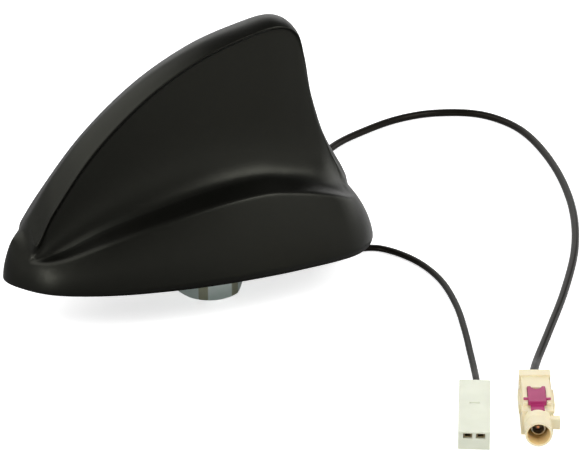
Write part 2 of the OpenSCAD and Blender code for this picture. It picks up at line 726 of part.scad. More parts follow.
module coax_plug_shell() color("#c9c2a6") on_plug() translate([0, 0, barrel_z]) {
    difference() {
        rod(shell_from, shell_to, shell_d);
        rod(shell_from - over, shell_to + over, shell_d - 2 * shell_wall);
    }
}

module coax_plug_insulator() color("#f2f0ea") on_plug() translate([0, 0, barrel_z]) {
    difference() {
        rod(shell_from, shell_to - insulator_back, shell_d - 2 * shell_wall - 2 * fit);
        rod(shell_from - over, shell_to + over, pin_d + 2 * fit);
    }
}

module coax_plug_pin() color("#c98b4a") on_plug() translate([0, 0, barrel_z])
    rod(shell_from, shell_to - pin_back, pin_d);

module coax_plug_ferrule() color("#b9bcc0") on_plug() translate([0, 0, barrel_z]) {
    difference() {
        rod(ferrule_from + fit, shell_from - fit, shell_d + 2 * ferrule_t);
        rod(ferrule_from, shell_from + over, coax_d);
    }
}

module socket_housing() color("#e4e8dc") on_socket() {
    difference() {
        translate([0, -socket_w / 2, 0]) cube([socket_l, socket_w, socket_h]);
        for (side = [-1, 1]) translate([slot_from, side * slot_y - slot_w / 2, slot_z])
            cube([socket_l, slot_w, slot_h]);
        translate([-over, entry_y - signal_d / 2 - lead_gap, (socket_h - signal_d) / 2 - lead_gap])
            cube([entry_l + over, signal_d + 2 * lead_gap, signal_d + 2 * lead_gap]);
        translate([mark_from, -mark_w / 2, socket_h - mark_deep]) cube([mark_l, mark_w, mark_deep + over]);
    }
}

module socket_terminals() color("#b7a56a") on_socket() {
    for (side = [-1, 1]) translate([terminal_from, side * slot_y, slot_z + terminal_lift]) difference() {
        translate([0, fit - slot_w / 2, 0])
            cube([socket_l - terminal_from - terminal_back, slot_w - 2 * fit, slot_h - 2 * fit]);
        translate([over, fit + terminal_t - slot_w / 2, terminal_t])
            cube([socket_l, slot_w - 2 * fit - 2 * terminal_t, slot_h - 2 * fit - 2 * terminal_t]);
    }
}

housing();
base_plate();
base_seal();
mounting_stud();
toothed_washer();
hex_nut();
housing_screws();
circuit_board();
board_screws();
shield_can();
patch_antenna();
patch_electrode();
patch_feed_pin();
mast_board();
mast_bracket();
cable_grommet();
coax_lead();
signal_lead();
coax_plug_body();
coax_plug_lock();
coax_plug_shell();
coax_plug_insulator();
coax_plug_pin();
coax_plug_ferrule();
socket_housing();
socket_terminals();
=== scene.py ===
"""Shark fin roof aerial standing on its nut, with its coaxial lead and its thin two-core lead."""
import math
import bpy
import bmesh
import numpy as np
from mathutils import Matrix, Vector


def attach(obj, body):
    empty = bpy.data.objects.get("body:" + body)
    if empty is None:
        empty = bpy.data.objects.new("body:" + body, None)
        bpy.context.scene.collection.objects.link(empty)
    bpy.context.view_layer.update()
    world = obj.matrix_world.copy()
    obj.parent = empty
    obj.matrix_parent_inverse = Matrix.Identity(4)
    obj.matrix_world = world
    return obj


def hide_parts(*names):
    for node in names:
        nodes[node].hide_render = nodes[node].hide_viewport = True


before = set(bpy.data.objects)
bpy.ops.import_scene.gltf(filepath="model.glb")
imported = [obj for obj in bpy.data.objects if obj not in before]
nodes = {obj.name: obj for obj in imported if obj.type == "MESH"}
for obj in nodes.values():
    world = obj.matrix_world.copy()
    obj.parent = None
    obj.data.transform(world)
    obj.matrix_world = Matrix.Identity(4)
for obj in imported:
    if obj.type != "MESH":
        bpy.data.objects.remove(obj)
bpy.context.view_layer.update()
MM = 0.001

# Camera
# The photograph was taken with a long lens, a little below 30 degrees above the table and from the side
# of the nose.
AZIMUTH = math.radians(-20.5)
ELEVATION = math.radians(27)
CAMERA_DISTANCE = 1.35
CAMERA_TARGET = Vector((0.0275, -0.0080, 0.0042))
LENS = 238.4
SENSOR_WIDTH = 36
NEAREST_SEEN = 0.01
towards_camera = Vector((math.sin(AZIMUTH) * math.cos(ELEVATION),
                         -math.cos(AZIMUTH) * math.cos(ELEVATION),
                         math.sin(ELEVATION)))
camera_data = bpy.data.cameras.new("camera")
camera_data.lens = LENS
camera_data.sensor_width = SENSOR_WIDTH
camera_data.clip_start = NEAREST_SEEN
camera = bpy.data.objects.new("camera", camera_data)
camera.location = CAMERA_TARGET + CAMERA_DISTANCE * towards_camera
camera.rotation_euler = towards_camera.to_track_quat("Z", "Y").to_euler()
bpy.context.collection.objects.link(camera)
bpy.context.scene.camera = camera
bpy.context.scene.view_settings.view_transform = "Standard"


# Base
# A die-cast plate closes the housing from below and carries everything inside. A rubber seal lies between
# the plate and the roof, and a rubber grommet lets both leads out.
NOISE_LOW = 0.3
NOISE_HIGH = 0.7
PATCH_DETAIL = 3


def object_noise(tree, scale, detail, stretch=(1, 1, 1)):
    """Noise over the piece's own coordinates, with scale in features a metre."""
    place = tree.nodes.new("ShaderNodeTexCoord")
    mapping = tree.nodes.new("ShaderNodeMapping")
    mapping.inputs["Scale"].default_value = stretch
    noise = tree.nodes.new("ShaderNodeTexNoise")
    noise.inputs["Scale"].default_value = scale
    noise.inputs["Detail"].default_value = detail
    tree.links.new(place.outputs["Object"], mapping.inputs["Vector"])
    tree.links.new(mapping.outputs["Vector"], noise.inputs["Vector"])
    return noise.outputs["Fac"]


def finish(name, dark, light, roughness, height, metallic=0.0, patches=225, grain=1800, detail=2,
           stretch=(1, 1, 1)):
    """A new material that drifts between two near colours under a fine grain.

    Patches and grain are features a metre, height is the grain's in metres, and stretch draws it out.
    """
    mat = bpy.data.materials.new(name)
    mat.use_nodes = True
    tree = mat.node_tree
    shader = tree.nodes["Principled BSDF"]
    shader.inputs["Base Color"].default_value = (*dark, 1)
    shader.inputs["Roughness"].default_value = roughness
    shader.inputs["Metallic"].default_value = metallic
    ramp = tree.nodes.new("ShaderNodeValToRGB")
    first, last = ramp.color_ramp.elements
    first.position = NOISE_LOW
    first.color = (*dark, 1)
    last.position = NOISE_HIGH
    last.color = (*light, 1)
    tree.links.new(object_noise(tree, patches, PATCH_DETAIL), ramp.inputs["Fac"])
    tree.links.new(ramp.outputs["Color"], shader.inputs["Base Color"])
    raised = tree.nodes.new("ShaderNodeBump")
    raised.inputs["Distance"].default_value = height
    raised.inputs["Strength"].default_value = 1.0
    tree.links.new(object_noise(tree, grain, detail, stretch), raised.inputs["Height"])
    tree.links.new(raised.outputs["Normal"], shader.inputs["Normal"])
    return mat


def wear(mat, *names):
    """Gives a material to nodes that keep their solids."""
    for name in names:
        obj = nodes[name]
        if not obj.data.materials:
            obj.data.materials.append(mat)
        for place in obj.material_slots:
            place.link = "OBJECT"
            place.material = mat


cast_plate = finish("cast_plate", (0.42, 0.43, 0.44), (0.5, 0.51, 0.52), roughness=0.5, height=0.00005,
                    metallic=0.9, patches=175, grain=1400)
seal_rubber = finish("seal_rubber", (0.01, 0.01, 0.01), (0.02, 0.02, 0.02), roughness=0.7,
                     height=0.00004)
grommet_rubber = finish("grommet_rubber", (0.012, 0.012, 0.012), (0.02, 0.02, 0.02), roughness=0.65,
                        height=0.00004)
wear(cast_plate, "base_plate")
wear(seal_rubber, "base_seal")
wear(grommet_rubber, "cable_grommet")


# Boards
# The amplifier board is green fibreglass under a tinned shield can, held by four zinc plated screws. The
# tall antenna board stands in the blade of the fin, in a moulded bracket.
board_green = finish("board_green", (0.01, 0.08, 0.035), (0.02, 0.13, 0.06), roughness=0.4,
                     height=0.00002, patches=125, grain=1000)
can_tin = finish("can_tin", (0.6, 0.61, 0.62), (0.7, 0.71, 0.72), roughness=0.3, height=0.00003,
                 metallic=1, patches=100, grain=800)
zinc_plate = finish("zinc_plate", (0.48, 0.52, 0.54), (0.6, 0.63, 0.65), roughness=0.35,
                    height=0.00002, metallic=1)
bracket_plastic = finish("bracket_plastic", (0.03, 0.03, 0.032), (0.05, 0.05, 0.052), roughness=0.5,
                         height=0.00003)
wear(board_green, "circuit_board", "mast_board")
wear(can_tin, "shield_can")
wear(zinc_plate, "board_screws")
wear(bracket_plastic, "mast_bracket")


# Satellite patch
# A block of fired ceramic with a silver electrode printed on top. A copper pin feeds it through the block
# from the board below.
patch_ceramic = finish("patch_ceramic", (0.6, 0.55, 0.42), (0.68, 0.62, 0.5), roughness=0.6,
                       height=0.00002, patches=300, grain=2400)
electrode_silver = finish("electrode_silver", (0.75, 0.74, 0.7), (0.83, 0.82, 0.79), roughness=0.4,
                          height=0.00001, metallic=1, patches=300, grain=2400)
contact_copper = finish("contact_copper", (0.55, 0.22, 0.1), (0.66, 0.3, 0.15), roughness=0.3,
                        height=0.00001, metallic=1)
wear(patch_ceramic, "patch_antenna")
wear(electrode_silver, "patch_electrode")
wear(contact_copper, "patch_feed_pin")


# Fin housing
# One satin black moulding: a rounded band along the leading edge, a step into the recessed flank, a cove
# that turns the flank into a nearly level shoulder, and the skirt from the shoulder's crest down to the
# rim. Four screws from below hold it on the base. Its sizes are in millimetres.
FIN_LENGTH = 134.2
FIN_WIDTH = 60
FIN_HEIGHT = 84.2
NOSE_TO_STUD = 75
BLADE_WIDTH = 12.6
WALL = 2.2
RECESS_DEPTH = 1.0
STEP_WIDTH = 3.3
LIP_RISE = 0.4
SKIRT_BULGE = 1
RIM_GAP = 0.4
# Twelve spans between thirteen guide stations, from the nose to the tail
KNOTS = 12
# Ridge: along, up, as percentages of the length and the height
RIDGE = np.array([
    (3, 20.8), (7, 27.3), (13.7, 43.5), (24.1, 62.8), (38.1, 80.4), (52.9, 92.4), (65.6, 98.1),
    (73.8, 100), (79.4, 94.2), (81.9, 81.4), (83.8, 64.1), (87.2, 45.7), (92.8, 27.9)])
# Lower edge of the band: along, thick, up, with thick as a percentage of the blade's width
CREASE = np.array([
    (1.9, 0, 15.7), (6.6, 143, 15.4), (11.5, 130, 28.1), (22.4, 114, 51.1), (36.1, 105, 71.5),
    (50.7, 97, 86), (64.8, 90, 94.1), (73.8, 86, 96.2), (78.6, 78, 92.6), (80.9, 68, 80.8),
    (82.8, 66, 62.8), (86.8, 72, 42), (94.2, 0, 22.5)])
# Crest of the shoulder: along, across, up, with across as a percentage of the fin's width
CREST = np.array([
    (1.2, 0, 12.1), (5.7, 33.3, 12.4), (12.3, 52.7, 14.5), (23.8, 67.3, 21.1), (38, 74, 27.4),
    (52.9, 75.7, 32.2), (65.6, 74, 33.6), (73.8, 71.7, 31.7), (80.5, 69.7, 29.1), (86.2, 66.7, 25.9),
    (90.8, 58, 22.4), (93.6, 38, 19.8), (94.8, 0, 18.1)])
# Rim: along, across
RIM = np.array([
    (0, 0), (3, 29.7), (10.1, 59.3), (23.1, 82), (38, 94.7), (52.9, 100), (66.3, 99.5),
    (76, 96), (84.2, 91.5), (90.5, 83.5), (95.4, 65), (98.8, 35), (100, 0)])
# Cove: how far its top stands above the crest, and how far the shoulder reaches in
COVE = np.array([
    (0.5, 0.6), (3, 1.5), (12, 4.5), (20, 7), (24, 7.5), (24, 7.5), (23, 7.5), (23, 7.5), (23, 7),
    (21, 5.5), (17, 3.5), (10, 1.8), (3, 0.6)])
# Rise of the shoulder for its width, and the greatest shares of the flank that the cove may take
SHOULDER_RISE = 0.25
COVE_TALLEST = 0.7
COVE_DEEPEST = 0.6
# Lean of the flank, and how hard the cove's curve is pulled at its top and at its foot
FLANK_LEAN = 0.06
PULL_TOP = 0.552
PULL_FOOT = 0.58
# Stations where the step comes in and goes out, where the nose's own form ends, and where the cove is
# plain at the tail and at the nose
STEP_IN = (0.75, 1.15)
STEP_OUT = (7.6, 9.4)
NOSE_END = (1.5, 6)
TAIL_PLAIN = (10.6, KNOTS)
NOSE_PLAIN = (0.75, 1.25)
# Pairs of values, away from the nose and at the nose: the share of the recess that is left, the share of
# the band that the step may take, and where the band's curve is pulled, across and up
RECESS_SHARE = (1, 0.4)
STEP_ROOM = (0.38, 0.24)
BAND_ACROSS = (0.62, 0.48)
BAND_UP = (0.1, 0.3)
# Pairs of shares, where a form begins and where it is full, and the stations between them
STEP_GROWTH = (0.25, 1)
BULGE_GROWTH = (0.3, 1)
BULGE_STATIONS = (0, 3)
# The step's edge lies out from the crease by this share of the recess, and its foot in by the rest
EDGE_OUT = 0.35
EDGE_CLIMB = 1.3
FOOT_CLIMB = 0.2
# The lip along the band falls back to its edge from this share of the band
LIP_FROM = 0.82
# The inner skin's crest moves in a little less than the wall, because the surface slopes there
CREST_INSET = 0.9
# Step between stations that finds the ridge's direction, and small values that keep a divisor above zero
STATION_NUDGE = 0.05
NO_ZERO = 1e-6
NO_ZERO_WEIGHT = 1e-9
UP = np.array([0, 0, 1.0])
LEVEL_PART = np.array([1, 1, 0])
UPRIGHT_PART = np.array([1, 0, 1])
FLIP_Y = np.array([1, -1, 1])


def along(points, s, before, after):
    """Catmull-Rom curve through points at the parameters s, continued by before and after."""
    line = np.vstack([before, points, after])
    i = np.minimum(len(points) - 2, np.floor(s).astype(int))
    t = (s - i)[:, None]
    a, b, c, d = line[i], line[i + 1], line[i + 2], line[i + 3]
    return 0.5 * (2 * b + (c - a) * t + (2 * a - 5 * b + 4 * c - d) * t**2
                  + (3 * b - a - 3 * c + d) * t**3)


def continued(points, s):
    """A curve that runs straight on past its first and its last point."""
    return along(points, s, 2 * points[0] - points[1], 2 * points[-1] - points[-2])


def across_curve(points, s):
    """A guide curve that crosses the centre plane squarely at the nose and the tail."""
    return along(points, s, points[1] * FLIP_Y, points[-2] * FLIP_Y)


def guide(lengthwise, across, up):
    """Guide points on the side of negative Y, with lengthwise as a percentage of the length."""
    return np.column_stack([FIN_LENGTH * lengthwise / 100 - NOSE_TO_STUD, -across, up])


ridge_points = guide(RIDGE[:, 0], 0 * RIDGE[:, 0], FIN_HEIGHT * RIDGE[:, 1] / 100)
crease_points = guide(CREASE[:, 0], BLADE_WIDTH / 2 * CREASE[:, 1] / 100,
                      FIN_HEIGHT * CREASE[:, 2] / 100)
crest_points = guide(CREST[:, 0], FIN_WIDTH / 2 * CREST[:, 1] / 100, FIN_HEIGHT * CREST[:, 2] / 100)
rim_points = guide(RIM[:, 0], FIN_WIDTH / 2 * RIM[:, 1] / 100, 0 * RIM[:, 0] + RIM_GAP)


def smooth_step(a, b, x):
    """Rises from 0 at a to 1 at b, level at both ends."""
    t = np.clip((x - a) / (b - a), 0, 1)
    return t * t * (3 - 2 * t)


def blend(pair, share):
    """Goes from the first value of a pair to the second as share goes from 0 to 1."""
    return pair[0] + (pair[1] - pair[0]) * share


def unit(v):
    return v / np.linalg.norm(v, axis=-1, keepdims=True)


def sections(s, inset, band_rows, step_rows, flank_rows, cove_rows, shoulder_rows, skirt_rows):
    """Half sections at the stations s, from the ridge to the rim, moved in by inset.

    Each list of rows says where the points lie on its own part of the section, from 0 to 1.
    """
    # How much of the step there is, how near the nose the station lies, and how plain the cove is
    present = smooth_step(*STEP_IN, s) * (1 - smooth_step(*STEP_OUT, s))
    near = 1 - smooth_step(*NOSE_END, s)
    plain = np.maximum(smooth_step(*TAIL_PLAIN, s), 1 - smooth_step(*NOSE_PLAIN, s))[:, None]

    # Ridge and rim
    ridge = continued(ridge_points, s)
    ahead = unit(continued(ridge_points, np.minimum(KNOTS, s + STATION_NUDGE))
                 - continued(ridge_points, np.maximum(0, s - STATION_NUDGE)))
    top = ridge + inset * np.column_stack([ahead[:, 2], 0 * s, -ahead[:, 0]])
    rim = across_curve(rim_points, s)
    inner = unit((ridge - rim) * LEVEL_PART)
    rim = rim + inset * inner

    # Lower edge of the band, and the foot of the step below it
    crease = across_curve(crease_points, s) + inset * inner
    climb = (ridge - crease) * UPRIGHT_PART
    room = np.linalg.norm(climb, axis=1)
    lip = (LIP_RISE * present)[:, None]
    depth = (RECESS_DEPTH * present * blend(RECESS_SHARE, near))[:, None]
    width = np.minimum(STEP_WIDTH * blend(STEP_GROWTH, present), blend(STEP_ROOM, near) * room)
    rise = unit(climb) * width[:, None]
    edge = crease - inner * (EDGE_OUT * depth + lip) + EDGE_CLIMB * rise
    foot = crease + inner * (1 - EDGE_OUT) * depth + FOOT_CLIMB * rise
    lean = np.column_stack([0 * s, blend(BAND_ACROSS, near), blend(BAND_UP, near)])
    band_pull = top + (edge - top) * lean

    # Crest of the shoulder, and the cove from the flank down to the shoulder
    crest = across_curve(crest_points, s) + CREST_INSET * inset * inner - inset * UP
    reach = np.linalg.norm((foot - crest)[:, :2], axis=1)[:, None]
    drop = (foot - crest)[:, 2:3]
    cove = along(COVE, s, [[0, 0]], [[0, 0]])
    tall = np.minimum(cove[:, :1], COVE_TALLEST * drop)
    level = np.minimum(cove[:, 1:], COVE_DEEPEST * reach)
    cove_top = foot + (crest - foot) * (1 - tall / np.maximum(drop, NO_ZERO))
    flank_y = foot[:, 1:2] - inner[:, 1:2] * FLANK_LEAN * (drop - tall)
    cove_top[:, 1:2] = flank_y + (cove_top[:, 1:2] - flank_y) * plain
    cove_foot = crest + level * inner + UP * SHOULDER_RISE * level
    span = cove_top - cove_foot
    fall = (cove_top - foot) / np.maximum(drop - tall, NO_ZERO)
    out = span * LEVEL_PART
    out = out + np.linalg.norm(out, axis=1)[:, None] * UP * SHOULDER_RISE
    pull_top = cove_top + PULL_TOP * span[:, 2:3] * fall
    pull_foot = cove_foot + PULL_FOOT * out
    pull_top = pull_top + (cove_top - span / 3 - pull_top) * plain
    pull_foot = pull_foot + (cove_foot + span / 3 - pull_foot) * plain
    bulge = (SKIRT_BULGE * blend(BULGE_GROWTH, smooth_step(*BULGE_STATIONS, s)))[:, None]

    # Rows of points, from the ridge down
    rows = []
    for t in band_rows:
        face = (1 - t)**2 * top + 2 * t * (1 - t) * band_pull + t * t * edge
        rows.append(face + inner * lip * (t * t - smooth_step(LIP_FROM, 1, t)))
    for t in step_rows:
        sink = smooth_step(0, 1, t) - t
        rows.append(edge + (foot - edge) * t + inner * (depth + lip) * sink)
    for t in flank_rows:
        rows.append(foot + (cove_top - foot) * t)
    for t in cove_rows:
        u = 1 - t
        rows.append(u**3 * cove_top + 3 * u * u * t * pull_top + 3 * u * t * t * pull_foot
                    + t**3 * cove_foot)
    for t in shoulder_rows:
        rows.append(cove_foot + (crest - cove_foot) * t)
    for t in skirt_rows:
        rows.append(crest + (rim - crest) * t - inner * bulge * 4 * t * (1 - t))
    return np.stack(rows, axis=1)


def both_sides(half):
    """Whole sections from rim to rim, made from the half sections of one side."""
    return np.concatenate([half[:, ::-1], half[:, 1:] * FLIP_Y], axis=1)


# The rounding fades out towards the rim over this many radii
FADE_REACH = 1.8


def rounded(lines, radius):
    """Rounds the corners of each line of points by averaging over its radius."""
    radius = radius[:, None, None]
    steps = np.linalg.norm(np.diff(lines, axis=1), axis=2)
    place = np.concatenate([np.zeros((len(lines), 1)), np.cumsum(steps, axis=1)], axis=1)
    share = np.zeros_like(place)
    share[:, :-1] += steps / 2
    share[:, 1:] += steps / 2
    gap = place[:, :, None] - place[:, None, :]
    weight = np.exp(-(gap / radius)**2) * (share[:, None, :] + NO_ZERO_WEIGHT)
    weight /= weight.sum(axis=2, keepdims=True)
    even = np.einsum("lij,ljk->lik", weight, lines)
    # Near the rim the average would pull the edge up, so it fades out there
    from_rim = np.minimum(place, place[:, -1:] - place)[:, :, None]
    keep = smooth_step(0, 1, from_rim / (FADE_REACH * radius))
    return lines + (even - lines) * keep


# Stations and rows lie closer together where the surface turns
STATIONS = np.concatenate([np.linspace(0, 0.6, 8)[:-1], np.linspace(0.6, 1.4, 33)[:-1],
                           np.linspace(1.4, KNOTS, 149)])
BAND_ROWS = np.concatenate([np.linspace(0, 0.8, 10), np.linspace(0.84, 0.98, 8)])
STEP_ROWS = np.linspace(0, 1, 9)[:-1]
FLANK_ROWS = [0, 0.03, 0.07, 0.13, 0.25, 0.4, 0.6, 0.8, 0.92]
COVE_ROWS = np.linspace(0, 1, 17)[:-1]
SHOULDER_ROWS = [0, 0.3, 0.55, 0.75, 0.88, 1]
SKIRT_ROWS = np.concatenate([[0.02, 0.05, 0.09, 0.14], np.linspace(0.2, 1, 9)])
# The inner skin has no step and is drawn with few rows
INNER_BAND_ROWS = np.linspace(0, 1, 4)[:-1]
INNER_FLANK_ROWS = [0, 0.5]
INNER_COVE_ROWS = np.linspace(0, 1, 4)
INNER_SHOULDER_ROWS = [1]
INNER_SKIRT_ROWS = [0.3, 0.65, 1]
# Radius of the rounded edges, and how much larger it is at the tail and at the nose
EDGE_RADIUS = 1.0
TAIL_EXTRA = 0.6
NOSE_EXTRA = 4
TAIL_SOFT = (10.2, 11.2)
NOSE_SOFT = (0.6, 1.05)
radii = (EDGE_RADIUS + TAIL_EXTRA * smooth_step(*TAIL_SOFT, STATIONS)
         + NOSE_EXTRA * (1 - smooth_step(*NOSE_SOFT, STATIONS)))
outer_skin = rounded(both_sides(sections(STATIONS, 0, BAND_ROWS, STEP_ROWS, FLANK_ROWS, COVE_ROWS,
                                         SHOULDER_ROWS, SKIRT_ROWS)), radii)
inner_skin = both_sides(sections(STATIONS, WALL, INNER_BAND_ROWS, [], INNER_FLANK_ROWS, INNER_COVE_ROWS,
                                 INNER_SHOULDER_ROWS, INNER_SKIRT_ROWS))


def grid_quads(lines, count, start, flip):
    """Quads between lines of count points each, with the points numbered from start."""
    quads = []
    for i in range(lines - 1):
        for j in range(count - 1):
            a = start + i * count + j
            quad = (a, a + 1, a + count + 1, a + count)
            quads.append(quad[::-1] if flip else quad)
    return quads


def new_object(name, data):
    """Links a mesh or a curve as an object at the origin."""
    obj = bpy.data.objects.new(name, data)
    bpy.context.collection.objects.link(obj)
    return obj


def inside(mat):
    """The node tree of a material, and its shader."""
    return mat.node_tree, mat.node_tree.nodes["Principled BSDF"]


def shade_smooth(mesh):
    for polygon in mesh.polygons:
        polygon.use_smooth = True


def ranged(tree, value, from_low, from_high, low, high):
    """Maps a value from one range to another and holds it at the ends."""
    node = tree.nodes.new("ShaderNodeMapRange")
    node.inputs["From Min"].default_value = from_low
    node.inputs["From Max"].default_value = from_high
    node.inputs["To Min"].default_value = low
    node.inputs["To Max"].default_value = high
    tree.links.new(value, node.inputs["Value"])
    return node.outputs["Result"]


lines, outer_count = outer_skin.shape[:2]
inner_count = inner_skin.shape[1]
inner_start = lines * outer_count
quads = (grid_quads(lines, outer_count, 0, True)
         + grid_quads(lines, inner_count, inner_start, False))
# The rim's flat underside joins both skins on either side
for i in range(lines - 1):
    a, b = i * outer_count, (i + 1) * outer_count
    c, d = inner_start + (i + 1) * inner_count, inner_start + i * inner_count
    quads.append((a, b, c, d))
    quads.append((d + inner_count - 1, c + inner_count - 1, b + outer_count - 1, a + outer_count - 1))
shell_mesh = bpy.data.meshes.new("housing_shell")
shell_mesh.from_pydata(np.vstack([outer_skin.reshape(-1, 3), inner_skin.reshape(-1, 3)]) * MM, [], quads)
# Points of both sides that meet within this many metres are welded
WELD = 1e-6
build = bmesh.new()
build.from_mesh(shell_mesh)
bmesh.ops.remove_doubles(build, verts=build.verts, dist=WELD)
bmesh.ops.dissolve_degenerate(build, edges=build.edges, dist=WELD)
bmesh.ops.recalc_face_normals(build, faces=build.faces)
build.to_mesh(shell_mesh)
build.free()
shade_smooth(shell_mesh)
shell = new_object("housing_shell", shell_mesh)
# The gloss varies between these roughnesses
SATIN = (0.32, 0.38)
SATIN_GRAIN = 900
shell_black = finish("shell_black", (0.0013, 0.0013, 0.001), (0.0018, 0.0018, 0.0014), roughness=0.35,
                     height=0.00002, patches=90, grain=3200, detail=3)
tree, shader = inside(shell_black)
shader.inputs["Specular IOR Level"].default_value = 0.25
shader.inputs["Specular Tint"].default_value = (0.99, 1, 0.85, 1)
satin = ranged(tree, object_noise(tree, SATIN_GRAIN, detail=4), NOISE_LOW, NOISE_HIGH, *SATIN)
tree.links.new(satin, shader.inputs["Roughness"])
shell_mesh.materials.append(shell_black)
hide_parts("housing")
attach(shell, "root")
wear(zinc_plate, "housing_screws")


# Nut
# The flanged stud comes through the plate, and a toothed washer and the nut hold it to the roof. The nut is
# zinc plated steel, cut from round bar, so its corners are browner turned lands between the milled flats.
BAR_RADIUS = 12
LAND_DEPTH = 0.2
LAND_BLEND = 0.1
LAND_COLOUR = (0.44, 0.46, 0.33, 1)
SAME_CORNER = 2e-6
FLAT_ANGLE = math.radians(1.5)
SHARP_ANGLE = math.radians(25)


def softened(node, name, width, segments=3):
    """A copy of a node's mesh with its flat faces joined, which replaces the node.

    Its sharp edges are rounded over width, in metres.
    """
    mesh = bpy.data.meshes.new(name)
    build = bmesh.new()
    build.from_mesh(nodes[node].data)
    build.transform(nodes[node].matrix_world)
    bmesh.ops.remove_doubles(build, verts=build.verts, dist=SAME_CORNER)
    bmesh.ops.dissolve_limit(build, angle_limit=FLAT_ANGLE, verts=build.verts, edges=build.edges)
    edges = [e for e in build.edges if len(e.link_faces) == 2 and e.calc_face_angle(0) > SHARP_ANGLE]
    bmesh.ops.bevel(build, geom=edges, offset=width, offset_type="OFFSET", affect="EDGES",
                    segments=segments, profile=0.5, material=-1, clamp_overlap=True)
    build.to_mesh(mesh)
    build.free()
    mesh.materials.clear()
    shade_smooth(mesh)
    obj = new_object(name, mesh)
    weighted = obj.modifiers.new("even normals", "WEIGHTED_NORMAL")
    weighted.keep_sharp = True
    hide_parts(node)
    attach(obj, "root")
    return obj


def distance_from_axis(tree, point, axis):
    """How far the surface lies from a straight axis through a point, in metres."""
    place = tree.nodes.new("ShaderNodeTexCoord")
    from_point = tree.nodes.new("ShaderNodeVectorMath")
    from_point.operation = "SUBTRACT"
    from_point.inputs[1].default_value = point
    off_axis = tree.nodes.new("ShaderNodeVectorMath")
    off_axis.operation = "CROSS_PRODUCT"
    off_axis.inputs[1].default_value = axis
    distance = tree.nodes.new("ShaderNodeVectorMath")
    distance.operation = "LENGTH"
    tree.links.new(place.outputs["Object"], from_point.inputs[0])
    tree.links.new(from_point.outputs["Vector"], off_axis.inputs[0])
    tree.links.new(off_axis.outputs["Vector"], distance.inputs[0])
    return distance.outputs["Value"]


def mixed(tree, factor, first, second):
    """A mix of two colours, each of them a colour or the output of a node."""
    mix = tree.nodes.new("ShaderNodeMix")
    mix.data_type = "RGBA"
    tree.links.new(factor, mix.inputs["Factor"])
    for name, colour in (("A", first), ("B", second)):
        if isinstance(colour, tuple):
            mix.inputs[name].default_value = colour
        else:
            tree.links.new(colour, mix.inputs[name])
    return mix.outputs["Result"]


nut = softened("hex_nut", "hex_nut_rounded", width=0.00025)
plated_steel = finish("plated_steel", (0.8, 0.95, 0.88), (0.9, 1, 0.96), roughness=0.3, height=0.00002,
                      metallic=0.75, patches=160, grain=1500, detail=3, stretch=(1, 1, 0.1))
tree, shader = inside(plated_steel)
milled = shader.inputs["Base Color"].links[0].from_socket
land = ranged(tree, distance_from_axis(tree, (0, 0, 0), (0, 0, 1)),
              (BAR_RADIUS - LAND_DEPTH) * MM, (BAR_RADIUS - LAND_BLEND) * MM, 0, 1)
tree.links.new(mixed(tree, land, milled, LAND_COLOUR), shader.inputs["Base Color"])
nut.data.materials.append(plated_steel)
wear(zinc_plate, "mounting_stud", "toothed_washer")


# Leads
# A coaxial lead and a thinner two-core lead, both in black vinyl. They leave the grommet behind the stud and
# lie loose on the table, and each ends in its connector. Their routes are the same as in the solids.
COAX_D = 2.8
SIGNAL_D = 2.3
# Along, across and up in millimetres
COAX_ROUTE = [
    (24, 3.2, 9), (24, 3.2, 3), (24, 3.2, -2.6), (24.9, 4.5, -8.6), (27.5, 8.1, -12.9),
    (31.1, 12.9, -14.4), (42, 28, -14.6), (54, 51, -14.6), (67, 74, -14.6), (81.5, 88.7, -14.6),
    (97.5, 97, -14.6), (113, 102, -14.6), (128, 102, -14.6), (143, 95.5, -14.6), (151.5, 82, -14.6),
    (153.7, 64, -14.6), (151, 37, -14.6), (143.5, 7.5, -14.6), (131.5, -21, -14.6), (115, -49, -14.6),
    (98, -74, -14.6), (86, -91.6, -14), (80.3, -101.5, -11.8), (76.9, -108, -10.5),
    (74.7, -113.6, -10.5)]
SIGNAL_ROUTE = [
    (24, -3.4, 9), (24, -3.4, 2), (24, -3.4, -4.5), (27, -2.5, -10), (34, 0.5, -14), (48, 5, -14.85),
    (62, 6, -14.85), (69.5, 0.5, -14.85), (75.3, -11.5, -14.85), (77.3, -27, -14.85),
    (75.2, -45.5, -14.85), (71, -63, -14.85), (66.2, -79.6, -14.85), (62.4, -92, -14.2),
    (59.4, -100.6, -12.9), (57.1, -106.2, -12.65)]
STEPS_A_SPAN = 8
ROUND_STEPS = 5


def lead_curve(name, route, diameter):
    """A round lead along its route, with its length in metres."""
    route = np.array(route)
    spans = len(route) - 1
    points = continued(route, np.linspace(0, spans, STEPS_A_SPAN * spans + 1)) * MM
    curve = bpy.data.curves.new(name, "CURVE")
    curve.dimensions = "3D"
    curve.bevel_depth = diameter / 2 * MM
    curve.bevel_resolution = ROUND_STEPS
    spline = curve.splines.new("POLY")
    spline.points.add(len(points) - 1)
    for point, place in zip(spline.points, points):
        point.co = (*place, 1)
    spline.use_smooth = True
    length = float(np.linalg.norm(np.diff(points, axis=0), axis=1).sum())
    return new_object(name, curve), length


lead_jacket = finish("lead_jacket", (0.003, 0.0024, 0.0016), (0.006, 0.005, 0.0036), roughness=0.3,
                     height=0.00003, patches=240, grain=2600)
tree, shader = inside(lead_jacket)
shader.inputs["Specular IOR Level"].default_value = 0.13
shader.inputs["Specular Tint"].default_value = (1, 0.92, 0.8, 1)
coax, coax_length = lead_curve("coax_lead_round", COAX_ROUTE, COAX_D)
thin, thin_length = lead_curve("signal_lead_round", SIGNAL_ROUTE, SIGNAL_D)
for lead, node in ((coax, "coax_lead"), (thin, "signal_lead")):
    lead.data.materials.append(lead_jacket)
    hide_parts(node)
    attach(lead, "root")


